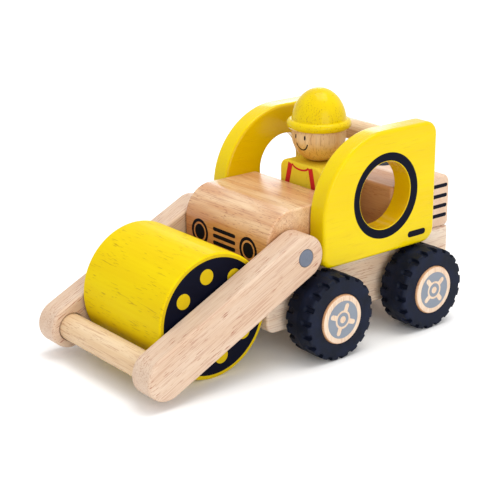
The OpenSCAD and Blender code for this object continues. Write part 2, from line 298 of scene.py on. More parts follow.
class Nodes:
    """A short hand for building one material's node tree."""

    def __init__(self, name):
        self.material = bpy.data.materials.new(name)
        self.material.use_nodes = True
        self.tree = self.material.node_tree
        self.shader = next(n for n in self.tree.nodes if n.type == "BSDF_PRINCIPLED")

    def add(self, kind, inputs=None, **settings):
        node = self.tree.nodes.new(kind)
        for key, value in settings.items():
            setattr(node, key, value)
        for key, value in (inputs or {}).items():
            self.put(node.inputs[key], value)
        return node

    def put(self, socket, value):
        if isinstance(value, bpy.types.NodeSocket):
            self.tree.links.new(value, socket)
        else:
            socket.default_value = value

    def noise(self, vector, scale, detail=3, roughness=0.55, distortion=0.0):
        node = self.add("ShaderNodeTexNoise", {"Vector": vector, "Scale": scale, "Detail": detail,
                                               "Roughness": roughness, "Distortion": distortion})
        return node.outputs["Fac"]

    def spread(self, value, low, high, to_low=0.0, to_high=1.0):
        """Maps low..high to to_low..to_high, smooth and clamped."""
        node = self.add("ShaderNodeMapRange",
                        {"Value": value, "From Min": low, "From Max": high,
                         "To Min": to_low, "To Max": to_high},
                        interpolation_type="SMOOTHSTEP")
        return node.outputs["Result"]

    def math(self, operation, a, b=0.0):
        node = self.add("ShaderNodeMath", operation=operation)
        self.put(node.inputs[0], a)
        self.put(node.inputs[1], b)
        return node.outputs[0]

    def mix(self, factor, a, b, blend="MIX"):
        node = self.add("ShaderNodeMix", data_type="RGBA", blend_type=blend)
        self.put(node.inputs[0], factor)
        self.put(node.inputs[6], a)
        self.put(node.inputs[7], b)
        return node.outputs[2]

    def along(self, direction, stretch, flat=1.0):
        """Object coordinates turned so that the grain runs along X, and squeezed along it.

        A flat below 1 widens the pattern across the grain too, as the rings of a flat board."""
        turn = Vector(direction).rotation_difference(Vector((1, 0, 0))).to_euler()
        place = self.add("ShaderNodeTexCoord").outputs["Object"]
        turned = self.add("ShaderNodeMapping", {"Vector": place, "Rotation": turn})
        return self.add("ShaderNodeVectorMath",
                        {0: turned.outputs["Vector"], 1: (1 / stretch, flat, 1)},
                        operation="MULTIPLY").outputs["Vector"]

    def place(self):
        """Object coordinates, as sockets X, Y and Z."""
        place = self.add("ShaderNodeTexCoord").outputs["Object"]
        return self.add("ShaderNodeSeparateXYZ", {"Vector": place}).outputs

    def tint(self, factor, colour, by):
        """Multiplies the colour where the factor is high."""
        return self.mix(factor, colour, by, "MULTIPLY")

    def bump(self, height, distance):
        node = self.add("ShaderNodeBump", {"Height": height, "Distance": distance, "Strength": 1.0})
        self.put(self.shader.inputs["Normal"], node.outputs["Normal"])

    def set(self, **values):
        for key, value in values.items():
            self.put(self.shader.inputs[key.replace("_", " ")], value)


# What a colour is multiplied by in places, all painted light and shade: painted shade inside the
# cab and in a window's bore, a painted sheen on top of the hood's front, painted shade at the
# hood's foot and a painted yellow reflection under the driver's head.
CAB_SHADE = (0.74, 0.52, 0.32, 1)
WINDOW_SHADE = (0.86, 0.70, 3.0, 1)
PAINTED_SHEEN = (1.09, 1.28, 1.55, 1)
PAINTED_FOOT_SHADE = (0.88, 0.72, 0.62, 1)
PAINTED_YELLOW_BOUNCE = (1.0, 0.88, 0.36, 1)


def bare_wood(name, light, dark, streak, direction, lines=0.4, pores=0.5, mottle=0.7, coat=0.1,
              darker_from=None, dash=8, sheen_and_foot_shade=False, flat=1.0, yellow_bounce_below=None):
    """Sanded hardwood under a thin satin lacquer: broad tone, long fine lines and short pores.

    lines, pores and mottle say how strong each is, and dash how long the pores are. Wood is
    darker forward of X darker_from: painted shade inside the cab. It turns golden below the Z
    it is given: a painted reflection of the yellow body under the head. With the sheen and
    foot-shade flag it is paler on top at the front, a painted sheen, and warmer at its foot,
    painted shade."""
    n = Nodes(name)
    tone = n.spread(n.noise(n.along(direction, 6, flat), 85, 3, 0.5, 0.4), 0.34, 0.68)
    bands = n.spread(n.noise(n.along(direction, 24, flat), 360, 3, 0.6, 0.3), 0.38, 0.66)
    fine = n.spread(n.noise(n.along(direction, 34, flat), 1500, 1, 0.4, 0.05), 0.56, 0.65)
    fibres = n.spread(n.noise(n.along(direction, 40, flat), 2400, 2, 0.6), 0.35, 0.65)
    pore_field = n.noise(n.along(direction, dash, flat), 1600 + 45 * dash, 1, 0.4, 0.1)
    crowd = n.spread(n.noise(n.along(direction, 3, flat), 160, 2, 0.5), 0.42, 0.62, 0.2, 1.0)
    pore_lines = n.math("MULTIPLY", n.spread(pore_field, 0.61, 0.68), crowd)
    colour = n.mix(n.math("MULTIPLY", tone, mottle), light, dark)
    colour = n.mix(n.math("MULTIPLY", bands, 0.35 * mottle), colour, dark)
    colour = n.mix(n.math("MULTIPLY", fibres, 0.10), colour, streak)
    colour = n.mix(n.math("MULTIPLY", fine, lines), colour, streak)
    colour = n.mix(n.math("MULTIPLY", pore_lines, pores), colour, streak)
    # Painted shade inside the cab.
    if darker_from is not None:
        inside = n.spread(n.place()["X"], darker_from - 3 * MM, darker_from + 3 * MM)
        colour = n.tint(inside, colour, CAB_SHADE)
    # Painted sheen, paler on top at the front, and painted shade, warmer at the foot.
    if sheen_and_foot_shade:
        at = n.place()
        forward = n.spread(at["X"], -16 * MM, 6 * MM)
        high = n.spread(at["Z"], 68 * MM, 78 * MM)
        low = n.spread(at["Z"], 61 * MM, 73 * MM, 1.0, 0.0)
        sheen_mask = n.math("MULTIPLY", n.math("MULTIPLY", forward, high), n.spread(tone, 0, 1, 1.0, 0.7))
        colour = n.tint(sheen_mask, colour, PAINTED_SHEEN)
        colour = n.tint(low, colour, PAINTED_FOOT_SHADE)
    # Painted reflection of the yellow body: golden under the head.
    if yellow_bounce_below is not None:
        under = n.spread(n.place()["Z"], yellow_bounce_below - 8 * MM, yellow_bounce_below, 1.0, 0.0)
        colour = n.tint(under, colour, PAINTED_YELLOW_BOUNCE)
    relief = n.math("SUBTRACT", n.math("MULTIPLY", fibres, 0.2), n.math("MULTIPLY", pore_lines, 0.8))
    n.set(Base_Color=colour, Roughness=n.spread(bands, 0, 1, 0.40, 0.50))
    n.bump(relief, 0.05 * MM)
    n.set(Coat_Weight=coat, Coat_Roughness=0.25, Coat_IOR=1.35, Specular_IOR_Level=0.2)
    return n.material


def painted_wood(name, bright, deep, fleck, direction, flecks=0.0, gloss=0.28, coat=0.5, stretch=7,
                 window=False, coat_ior=1.28):
    """Paint on wood: a slightly uneven film, the grain faintly raised, open pores as flecks.

    flecks says how strong the pores are, and stretch how long. With window, the window's bore
    and the face that looks into the cab carry painted shade."""
    n = Nodes(name)
    film = n.spread(n.noise(n.along(direction, 5), 70, 3, 0.5, 0.3), 0.35, 0.68)
    grain = n.spread(n.noise(n.along(direction, 30), 620, 3, 0.6, 0.2), 0.36, 0.66)
    pore_field = n.noise(n.along(direction, stretch), 1700, 1, 0.4, 0.1)
    crowd = n.spread(n.noise(n.along(direction, 2), 150, 2, 0.5), 0.40, 0.60)
    pores = n.math("MULTIPLY", n.spread(pore_field, 0.60, 0.70), crowd)
    colour = n.mix(n.math("MULTIPLY", film, 0.55), bright, deep)
    colour = n.mix(n.math("MULTIPLY", grain, 0.30), colour, deep)
    colour = n.mix(n.math("MULTIPLY", pores, flecks), colour, fleck)
    # Painted shade in the window's bore and on the face that looks into the cab.
    if window:
        at = n.place()
        dx = n.math("SUBTRACT", at["X"], WINDOW[0])
        dz = n.math("SUBTRACT", at["Z"], WINDOW[1])
        away = n.math("SQRT", n.math("ADD", n.math("MULTIPLY", dx, dx), n.math("MULTIPLY", dz, dz)))
        bore = n.spread(away, WINDOW_R + 0.1 * MM, WINDOW_R + 0.4 * MM, 1.0, 0.0)
        depth = n.math("ABSOLUTE", at["Y"])
        inner = n.spread(depth, PANEL_LOW.y + 0.3 * MM, PANEL_LOW.y + 1.2 * MM, 0.8, 0.0)
        colour = n.tint(n.math("MAXIMUM", bore, inner), colour, WINDOW_SHADE)
    relief = n.math("SUBTRACT", n.math("MULTIPLY", grain, 0.3), n.math("MULTIPLY", pores, 0.7))
    n.set(Base_Color=colour, Roughness=n.spread(grain, 0, 1, gloss, gloss + 0.08))
    n.bump(relief, 0.04 * MM)
    n.set(Coat_Weight=coat, Coat_Roughness=0.14, Coat_IOR=coat_ior, Specular_IOR_Level=0.03)
    return n.material


def ink(name, solid, worn):
    """Screen-printed ink: nearly even, thinner where the wood's grain stands up."""
    n = Nodes(name)
    place = n.along((1, 0, 0), 3)
    cloud = n.spread(n.noise(place, 260, 3, 0.6), 0.38, 0.70)
    speck = n.spread(n.noise(place, 2600, 2, 0.5), 0.62, 0.74)
    colour = n.mix(n.math("MULTIPLY", cloud, 0.35), solid, worn)
    colour = n.mix(n.math("MULTIPLY", speck, 0.25), colour, worn)
    n.set(Base_Color=colour, Roughness=n.spread(cloud, 0, 1, 0.5, 0.6))
    n.bump(n.math("MULTIPLY", speck, 0.5), 0.02 * MM)
    n.set(Specular_IOR_Level=0.06)
    return n.material


def rubber(name):
    """Matt moulded rubber with a fine texture and a trace of dust."""
    n = Nodes(name)
    place = n.along((1, 0, 0), 1)
    cloud = n.spread(n.noise(place, 120, 4, 0.6), 0.35, 0.70)
    fine = n.noise(place, 3200, 3, 0.6)
    dust = n.spread(n.noise(place, 1300, 4, 0.7), 0.62, 0.80)
    colour = n.mix(cloud, srgb(15, 22, 38), srgb(27, 34, 56))
    colour = n.mix(n.math("MULTIPLY", dust, 0.30), colour, srgb(66, 68, 86))
    n.set(Base_Color=colour, Roughness=n.spread(cloud, 0, 1, 0.50, 0.62))
    n.bump(fine, 0.05 * MM)
    n.set(Specular_IOR_Level=0.12)
    return n.material


ARM_LINE = Vector((ARM_TIP[0] - PIVOT[0], 0, ARM_TIP[1] - PIVOT[1])).normalized()
ALONG_X, ALONG_Y, ALONG_Z = (1, 0, 0), (0, 1, 0), (0, 0, 1)
RUST = srgb(172, 100, 70)
HONEY, AMBER = srgb(246, 198, 146), srgb(216, 150, 96)
YELLOW, DEEP_YELLOW, OCHRE = srgb(250, 221, 0), srgb(244, 206, 0), srgb(176, 124, 24)

WOOD_ARM = bare_wood("wood_arm", srgb(242, 216, 190), srgb(226, 188, 156), srgb(164, 84, 58), ARM_LINE,
                     lines=0.25, pores=0.85, mottle=0.6, dash=18)
# The hood carries a painted sheen on top at its front and painted shade at its foot.
WOOD_HOOD = bare_wood("wood_hood", HONEY, AMBER, srgb(160, 88, 56), ALONG_Y,
                      lines=0.35, pores=0.75, mottle=0.9, coat=1.0, sheen_and_foot_shade=True)
# The rear block is darker inside the cab: painted shade.
WOOD_REAR = bare_wood("wood_rear_block", srgb(246, 218, 192), srgb(232, 194, 162), RUST, ALONG_Y,
                      lines=0.15, pores=0.35, darker_from=-88 * MM)
WOOD_CHASSIS = bare_wood("wood_chassis", srgb(255, 236, 214), srgb(242, 206, 170), RUST, ALONG_X,
                         lines=0.35, flat=0.22)
WOOD_BAR = bare_wood("wood_bar", srgb(255, 228, 188), srgb(240, 200, 152), RUST, ALONG_Y,
                     lines=0.35, pores=0.45)
WOOD_HUB = bare_wood("wood_hub", srgb(255, 232, 206), srgb(244, 212, 182), srgb(190, 130, 92), ALONG_Z,
                     lines=0.3)
WOOD_HUB_EDGE = bare_wood("wood_hub_edge", srgb(232, 184, 140), srgb(212, 152, 106),
                          srgb(170, 106, 72), ALONG_Y, lines=0.3)
# The head turns golden below its middle: a painted reflection of the yellow body.
WOOD_HEAD = bare_wood("wood_head", srgb(255, 220, 164), srgb(242, 188, 118), srgb(166, 100, 56), ALONG_Z,
                      lines=0.35, yellow_bounce_below=HEAD_Z)
WOOD_DOWEL = bare_wood("wood_dowel", srgb(242, 212, 178), srgb(226, 190, 150), RUST, ALONG_Y,
                       lines=0.2, pores=0.3)
# The panels carry painted shade in the window's bore and on their inner face.
PAINT_PANEL = painted_wood("paint_panel", YELLOW, DEEP_YELLOW, OCHRE, ALONG_X,
                           flecks=0.12, gloss=0.24, coat=1.0, stretch=20, window=True, coat_ior=1.22)
PAINT_DRUM = painted_wood("paint_drum", srgb(252, 222, 8), srgb(244, 206, 12), srgb(172, 126, 24),
                          ALONG_Y, flecks=0.55, gloss=0.5, coat=0.08, stretch=11)
PAINT_DRUM_END = painted_wood("paint_drum_end", srgb(232, 200, 24), srgb(220, 186, 26),
                              srgb(150, 110, 30), ALONG_Y, flecks=0.3, gloss=0.5, coat=0.05, stretch=1)
PAINT_HELMET = painted_wood("paint_helmet", srgb(248, 217, 4), srgb(238, 200, 6), OCHRE, ALONG_Z,
                            flecks=0.6, gloss=0.3, coat=0.5, stretch=2)
PAINT_BODY = painted_wood("paint_driver", srgb(270, 240, 62), srgb(266, 228, 56), OCHRE, ALONG_Z,
                          flecks=0.4, gloss=0.45, coat=0.1, stretch=3)
PAINT_PIN = painted_wood("paint_pin", srgb(126, 133, 148), srgb(114, 121, 136), srgb(90, 98, 110),
                         ALONG_Y, flecks=0.3, gloss=0.45, coat=0.1)
BLACK_INK = ink("ink_black", srgb(9, 12, 30), srgb(18, 22, 44))
RED_INK = ink("ink_red", srgb(236, 52, 46), srgb(216, 56, 50))
GREY_INK = ink("ink_grey", srgb(148, 156, 168), srgb(158, 165, 176))
RUBBER = rubber("tyre_rubber")


# -------------------------------------------------------------- body boards

def drilled(piece, cutters):
    """Cuts round holes, given as (place, radius, w0, w1), out of a finished piece."""
    for place, r, w0, w1 in cutters:
        bm = bmesh.new()
        lathe(bm, [(0, w0), (r, w0), (r, w1), (0, w1)], place, 48)
        bmesh.ops.recalc_face_normals(bm, faces=bm.faces)
        mesh = bpy.data.meshes.new("cutter")
        bm.to_mesh(mesh)
        bm.free()
        cutter = bpy.data.objects.new("cutter", mesh)
        bpy.context.scene.collection.objects.link(cutter)
        cut = piece.modifiers.new("drill", "BOOLEAN")
        cut.object = cutter
        cut.solver = "EXACT"
        cut.operation = "DIFFERENCE"
        bpy.context.view_layer.update()
        done = bpy.data.meshes.new_from_object(
            piece.evaluated_get(bpy.context.evaluated_depsgraph_get()))
        piece.modifiers.remove(cut)
        piece.data = done
        bpy.data.objects.remove(cutter)


def make_chassis():
    bm = bmesh.new()
    outline = corner_outline(CHASSIS_LOW.x, CHASSIS_HIGH.x, CHASSIS_LOW.z, CHASSIS_HIGH.z,
                             [CHASSIS_REAR_R, CHASSIS_NOSE_R, BOARD_EDGE + MM, BOARD_EDGE + MM / 2])
    bores = []
    for axle in ("front_axle", "rear_axle"):
        low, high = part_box(axle)
        bores.append(((low.x + high.x) / 2, (low.z + high.z) / 2, AXLE_R + RUNNING_GAP, 0, 0, 0.4 * MM))
    board(bm, outline, CHASSIS_LOW.y, CHASSIS_HIGH.y, BOARD_EDGE, xz, bores)
    piece = finish_mesh("chassis_board", bm, WOOD_CHASSIS, "vehicle", ["chassis"])
    socket = (about_z(DRIVER_X, 0), PEG_R + RUNNING_GAP, PEG_LOW.z - MM, CHASSIS_HIGH.z + MM)
    drilled(piece, [socket])


def make_hood():
    bm = bmesh.new()
    outline = corner_outline(HOOD_LOW.x, HOOD_HIGH.x, HOOD_LOW.z, HOOD_HIGH.z,
                             [HOOD_FOOT, HOOD_FOOT, HOOD_BEND, HOOD_FOOT])
    pins = [(*PIVOT, PIN_SHANK_R + GLUE_GAP, side, PIN_HOLE, 0.3 * MM) for side, word in SIDES]
    board(bm, outline, HOOD_LOW.y, HOOD_HIGH.y, HOOD_EDGE, xz, pins)
    finish_mesh("hood", bm, WOOD_HOOD, "vehicle", ["hood_block"])


def make_rear_block():
    bm = bmesh.new()
    outline = corner_outline(REAR_LOW.x, REAR_HIGH.x, REAR_LOW.z, REAR_HIGH.z,
                             [REAR_FOOT_R, HOOD_FOOT, HOOD_FOOT, REAR_TOP_R])
    board(bm, outline, REAR_LOW.y, REAR_HIGH.y, BOARD_EDGE, xz)
    finish_mesh("rear_engine_block", bm, WOOD_REAR, "vehicle", ["rear_block"])


def make_panel(side, name, node):
    low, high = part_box(node)
    bm = bmesh.new()
    outline = corner_outline(low.x, high.x, low.z, high.z,
                             [PANEL_REAR_R, PANEL_FOOT_R, PANEL_SWEEP, PANEL_REAR_R])
    holes = [(*WINDOW, WINDOW_R, 0, 0, WINDOW_EDGE)]
    bar_at = ((ROOF_BAR_LOW.x + ROOF_BAR_HIGH.x) / 2, (ROOF_BAR_LOW.z + ROOF_BAR_HIGH.z) / 2)
    bar_r = (ROOF_BAR_HIGH.z - ROOF_BAR_LOW.z) / 2
    holes.append((*bar_at, bar_r + ROOF_BAR_GAP, -side, ROOF_BAR_HOLE, 0.3 * MM))
    board(bm, outline, low.y, high.y, PANEL_EDGE, xz, holes)
    finish_mesh(name, bm, PAINT_PANEL, "vehicle", [node])


def make_rod(name, node, material, body, edge):
    """A plain dowel along Y with softened ends."""
    low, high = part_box(node)
    r = (high.z - low.z) / 2
    rim = [(r - i, d) for i, d in edge_rounding(edge)]
    profile = [(0, high.y)] + [(q, high.y - d) for q, d in rim]
    profile += [(q, low.y + d) for q, d in rim[::-1]] + [(0, low.y)]
    bm = bmesh.new()
    lathe(bm, profile, about_y((low.x + high.x) / 2, (low.z + high.z) / 2), 64)
    finish_mesh(name, bm, material, body, [node])


make_chassis()
make_hood()
make_rear_block()
for side, word in SIDES:
    make_panel(side, word + "_panel", word + "_side_panel")
make_rod("cab_roof_bar", "roof_bar", WOOD_BAR, "vehicle", 0.4 * MM)


# ------------------------------------------------------------- roller frame

def make_arm(side, name, node):
    low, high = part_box(node)
    bm = bmesh.new()
    run = math.hypot(ARM_TIP[0] - PIVOT[0], ARM_TIP[1] - PIVOT[1])
    along = Vector((ARM_LINE.x, ARM_LINE.z))
    across = Vector((-ARM_LINE.z, ARM_LINE.x))

    def slanted(u, v, w):
        return Vector((PIVOT[0] + along.x * u + across.x * v, w, PIVOT[1] + along.y * u + across.y * v))

    offset = Vector((DRUM_AT[0] - PIVOT[0], DRUM_AT[1] - PIVOT[1]))
    drum_at = (offset.dot(along), offset.dot(across))
    holes = [
        (0, 0, PIN_R + COUNTERBORE_GAP, side, COUNTERBORE_DEPTH, 0.35 * MM),
        (run, 0, CROSSBAR_R + CROSSBAR_GAP, -side, CROSSBAR_HOLE, 0.6 * MM),
        (*drum_at, DRUM_AXLE_R + GLUE_GAP, -side, DRUM_AXLE_HOLE, 0.3 * MM),
    ]
    outline = corner_outline(-ARM_R, run + ARM_R, -ARM_R, ARM_R, [ARM_R - 0.02 * MM] * 4, 20)
    board(bm, outline, low.y, high.y, ARM_EDGE, slanted, holes)
    finish_mesh(name, bm, WOOD_ARM, "roller_frame", [node])


def make_pin(side, name, node):
    low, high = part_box(node)
    inner, outer = sorted((abs(low.y), abs(high.y)))
    head = outer - PIN_HEAD_T
    bevel = 0.6 * MM
    profile = [(0, inner), (PIN_SHANK_R - bevel, inner), (PIN_SHANK_R, inner + bevel),
               (PIN_SHANK_R, head), (PIN_R, head)]
    profile += [(PIN_R - i, outer - d) for i, d in edge_rounding(0.5 * MM)[::-1]]
    profile += [(PIN_R * 0.5, outer), (0, outer)]
    bm = bmesh.new()
    lathe(bm, profile, about_y(*PIVOT, side), 64)
    finish_mesh(name, bm, PAINT_PIN, "vehicle", [node])


def second_material(piece, material, wanted):
    """Gives the faces that wanted() picks out a second material."""
    piece.data.materials.append(material)
    for face in piece.data.polygons:
        if wanted(face):
            face.material_index = 1


def make_drum():
    half = DRUM_HIGH.y
    bore = DRUM_AXLE_R + RUNNING_GAP
    rim = edge_rounding(DRUM_RIM)
    profile = [(bore, half), (DRUM_R * 0.5, half)] + [(DRUM_R - i, half - d) for i, d in rim]
    profile += [(DRUM_R - i, -half + d) for i, d in rim[::-1]] + [(DRUM_R * 0.5, -half), (bore, -half)]
    bm = bmesh.new()
    rings = [add_ring(bm, about_y(*DRUM_AT), circle(0, 0, r, 160), w) for r, w in profile]
    for a, b in zip(rings, rings[1:] + rings[:1]):
        bridge(bm, a, b)
    piece = finish_mesh("roller_drum", bm, PAINT_DRUM, "roller_drum", ["drum"])
    second_material(piece, PAINT_DRUM_END, lambda face: abs(face.normal.y) > 0.9)


for side, word in SIDES:
    make_arm(side, word + "_roller_arm", word + "_arm")
for side, word in SIDES:
    make_pin(side, word + "_pivot", word + "_pivot_pin")
make_rod("crossbar", "front_crossbar", WOOD_BAR, "roller_frame", 0.5 * MM)
make_drum()


# ------------------------------------------------------------------- wheels

def smoothstep(x):
    """0 up to x = 0, 1 from x = 1, and smooth in between."""
    x = min(max(x, 0), 1)
    return x * x * (3 - 2 * x)


def tyre_profile():
    """Cross-section as (radius, distance from the middle plane), outer bead round to inner bead."""
    outer, inner = TYRE_HIGH.y, TYRE_LOW.y
    bead = HUB_R - HUB_SEAT_INSET + GLUE_GAP
    lip = HUB_R + GLUE_GAP
    wall = TYRE_R - TYRE_SHOULDER - 0.6 * MM
    points = [(lip, outer - HUB_LIP), (lip, outer - 0.5 * MM), (lip + 0.15 * MM, outer - 0.15 * MM),
              (lip + 0.5 * MM, outer), (lip + 2 * MM, outer)]
    points += [(wall - 1.2 * MM, outer), (wall, outer - 0.03 * MM)]
    points += [(TYRE_R - TYRE_SHOULDER * (1 - math.sin(a)), outer - TYRE_SHOULDER * (1 - 0.97 * math.cos(a)))
               for a in [math.pi / 2 * i / 6 for i in range(1, 7)]]
    tread_rows = 9
    start = outer - TYRE_SHOULDER
    stop = outer - NOTCH_RUN - 0.5 * MM
    points += [(TYRE_R, start + (stop - start) * i / tread_rows) for i in range(1, tread_rows + 1)]
    mid = (outer + inner) / 2
    half = points + [(TYRE_R, mid + 0.5 * MM), (TYRE_R + MOULD_LINE, mid + 0.15 * MM)]
    other = [(r, 2 * mid - y) for r, y in half[5:]][::-1]
    bead_side = [(lip + 0.5 * MM, inner), (bead + 0.2 * MM, inner + 0.1 * MM), (bead, inner + 0.5 * MM),
                 (bead, outer - HUB_LIP)]
    return half + other + bead_side


def notch_depth(angle, y):
    """How deep the tread is cut at an angle (radians) and a distance y from the middle plane."""
    outer, inner = TYRE_HIGH.y, TYRE_LOW.y
    depth = 0
    for edge, sign, shift in ((outer, 1, 0), (inner, -1, 0.5)):
        into = sign * (edge - y)
        pitch = 2 * math.pi / NOTCHES
        local = (angle / pitch + shift + 0.5) % 1 - 0.5
        across = local * pitch * TYRE_R
        corner = NOTCH_W / 2
        reach = NOTCH_RUN - corner
        d = abs(across) if into < reach else math.hypot(across, into - reach)
        wall = smoothstep((corner - d) / (0.3 * MM) + 0.5)
        depth = max(depth, wall * NOTCH_DEPTH * (0.75 + 0.25 * smoothstep(1 - into / NOTCH_RUN)))
    return depth


def tyre_angles():
    """Column angles, closer together where the walls of the notches stand."""
    pitch = 2 * math.pi / NOTCHES
    half = NOTCH_W / 2 / TYRE_R / pitch
    wall = 0.15 * MM / TYRE_R / pitch
    marks = [0, half * 0.35, half * 0.65, half - wall, half, half + wall, 0.25]
    marks = [-m for m in marks[:0:-1]] + marks
    both = marks + [0.5 + m for m in marks]
    spots = sorted({round(m % 1, 5) for m in both})
    return [(i + s) * pitch for i in range(NOTCHES) for s in spots]


def make_tyre(node, side, turn):
    low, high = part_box(node)
    x, z = (low.x + high.x) / 2, (low.z + high.z) / 2
    profile = tyre_profile()
    angles = tyre_angles()
    bm = bmesh.new()
    columns = []
    for a in angles:
        column = []
        for r, y in profile:
            cut = notch_depth(a, y)
            left = min(r, TYRE_R - cut) if cut > 0 else r
            column.append(bm.verts.new((x + left * math.cos(a + turn), side * y,
                                        z + left * math.sin(a + turn))))
        columns.append(column)
    n, m = len(columns), len(profile)
    for i in range(n):
        a, b = columns[i], columns[(i + 1) % n]
        for j in range(m):
            k = (j + 1) % m
            bm.faces.new((a[j], b[j], b[k], a[k]))
    finish_mesh(node + "_rubber", bm, RUBBER, node.split("_")[0] + "_wheelset", [node])


def make_hub(node, side):
    low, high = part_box(node)
    x, z = (low.x + high.x) / 2, (low.z + high.z) / 2
    face = HUB_HIGH.y
    seat = HUB_R - HUB_SEAT_INSET
    rim = edge_rounding(HUB_EDGE, 5)
    start = TYRE_HIGH.y - HUB_LIP
    back = TYRE_LOW.y + HUB_SEAT_BACK
    bore = AXLE_R + GLUE_GAP
    profile = [(0, face), (HUB_R * 0.74, face)]
    profile += [(HUB_R - i, face - d) for i, d in rim]
    profile += [(HUB_R, start), (seat, start), (seat, back + 0.4 * MM), (seat - 0.4 * MM, back),
                (HUB_BOSS_R, back), (HUB_BOSS_R, HUB_LOW.y + 0.4 * MM), (HUB_BOSS_R - 0.4 * MM, HUB_LOW.y),
                (bore, HUB_LOW.y), (bore, AXLE_HIGH.y + 0.2 * MM), (0, AXLE_HIGH.y + 0.2 * MM)]
    bm = bmesh.new()
    lathe(bm, profile, about_y(x, z, side), 96)
    body = node.split("_")[0] + "_wheelset"
    piece = finish_mesh(node + "_wood", bm, WOOD_HUB, body, [node])
    second_material(piece, WOOD_HUB_EDGE, lambda face: abs(face.normal.y) < 0.75)


# Each wheel's side, how far its tread is turned in radians, and its print in degrees.
WHEELS = [("front_left", 1, 0.10, 21.5), ("front_right", -1, 0.3, 20),
          ("rear_left", 1, 0.62, 50), ("rear_right", -1, 0.5, 5)]
for wheel, side, tread_turn, print_turn in WHEELS:
    make_tyre(wheel + "_tyre", side, tread_turn)
    make_hub(wheel + "_hub", side)


# ------------------------------------------------------------------- driver

def make_driver_body():
    outline = corner_outline(BODY_LOW.y, BODY_HIGH.y, BODY_LOW.z, BODY_HIGH.z,
                             [BODY_FOOT_R, BODY_FOOT_R, SHOULDER_R, SHOULDER_R], 8)
    bm = bmesh.new()
    board(bm, outline, BODY_LOW.x, BODY_HIGH.x, BODY_EDGE, yz)
    piece = finish_mesh("driver_torso", bm, PAINT_BODY, "driver", ["driver_body"])
    drilled(piece, [
        (about_z(DRIVER_X, 0), PEG_R + GLUE_GAP, BODY_LOW.z - MM, PEG_HIGH.z + 0.2 * MM),
        (about_z(DRIVER_X, 0), NECK_R + GLUE_GAP, NECK_LOW.z - 0.2 * MM, BODY_HIGH.z + MM),
    ])


def make_head():
    low = BODY_HIGH.z
    chin = math.degrees(math.asin((low - HEAD_Z) / HEAD_R))
    crown = math.degrees(math.asin(min(1, (BRIM_Z - HEAD_Z) / HEAD_R)))
    profile = [(0, low)] + arc(0, HEAD_Z, HEAD_R, chin, crown, 40) + [(0, BRIM_Z)]
    bm = bmesh.new()
    lathe(bm, profile, about_z(DRIVER_X, 0), 96)
    finish_mesh("driver_face", bm, WOOD_HEAD, "driver", ["driver_head"])


def make_helmet():
    roll = BRIM_T / 2
    top = HELMET_HIGH.z
    steps = 26
    dome = [(DOME_R * math.cos(a), BRIM_Z + (top - BRIM_Z) * math.sin(a))
            for a in [math.pi / 2 * (1 - i / steps) for i in range(steps + 1)]]
    dome = [(max(r, 0), z) for r, z in dome if z > BRIM_Z + roll * 0.75]
    brim = arc(BRIM_R - roll, BRIM_Z, roll, 112, -95, 14)
    under = [(HEAD_R + 0.1 * MM, HELMET_LOW.z + 0.1 * MM), (HEAD_R + 0.1 * MM, BRIM_Z), (0, BRIM_Z)]
    bm = bmesh.new()
    lathe(bm, [(0, top)] + dome[1:] + brim + under, about_z(DRIVER_X, 0), 96)
    finish_mesh("driver_hard_hat", bm, PAINT_HELMET, "driver", ["driver_helmet"])


make_driver_body()
make_head()
make_helmet()

# CAD nodes that stay as they are, inside the wood.
HIDDEN_DOWELS = ("block_dowels", "panel_dowels", "drum_axle", "front_axle", "rear_axle",
                 "neck_dowel", "seat_peg")
for name in HIDDEN_DOWELS:
    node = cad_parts[name]
    node.data.materials.clear()
    node.data.materials.append(WOOD_DOWEL)


# ------------------------------------------------------------------- prints

# How far a film of ink stands up and reaches into the surface.
INK_UP = 0.04 * MM
INK_IN = 0.12 * MM


def capsule(cu, cv, length, height, steps=10):
    """A bar with round ends along u."""
    r = height / 2
    reach = length / 2 - r
    return arc(cu + reach, cv, r, -90, 90, steps) + arc(cu - reach, cv, r, 90, 270, steps)


def stroke(points, width):
    """The outline of a line of the given width with square ends."""
    left, right = [], []
    for i, (u, v) in enumerate(points):
        a, b = points[max(i - 1, 0)], points[min(i + 1, len(points) - 1)]
        length = math.hypot(b[0] - a[0], b[1] - a[1])
        nu, nv = -(b[1] - a[1]) / length, (b[0] - a[0]) / length
        left.append((u + nu * width / 2, v + nv * width / 2))
        right.append((u - nu * width / 2, v - nv * width / 2))
    return left + right[::-1]


def make_print(name, shapes, place, material, body):
    """A film of ink. Each shape is a list of loops: its outline, then its holes."""
    bm = bmesh.new()
    for loops in shapes:
        films = []
        for height in (INK_UP, -INK_IN):
            rings = [add_ring(bm, place, loop, height) for loop in loops]
            edges = [edge for ring in rings for edge in ring_edges(bm, ring)]
            bmesh.ops.triangle_fill(bm, use_beauty=True, use_dissolve=False, edges=edges)
            films.append(rings)
        for upper, lower in zip(*films):
            bridge(bm, upper, lower)
    finish_mesh(name, bm, material, body, ())


def on_side(face_y):
    """Placing on a face that looks along +Y or -Y."""
    side = 1 if face_y > 0 else -1
    return lambda u, v, h: Vector((u, face_y + side * h, v))


def on_front(face_x):
    """Placing on a face that looks along +X."""
    return lambda u, v, h: Vector((face_x + h, u, v))


def on_hood(u, v, h):
    """The hood's front face and the start of its bend."""
    over = max(0, v - (HOOD_HIGH.z - HOOD_BEND))
    back = HOOD_BEND - math.sqrt(HOOD_BEND ** 2 - over ** 2)
    return Vector((HOOD_HIGH.x - back + h, u, v))


def on_wheel(x, z, side, turn):
    """Placing on a hub's face, turned by an angle in degrees."""
    c, s = math.cos(math.radians(turn)), math.sin(math.radians(turn))
    return lambda u, v, h: Vector((x + c * u - s * v, side * (HUB_HIGH.y + h), z + s * u + c * v))


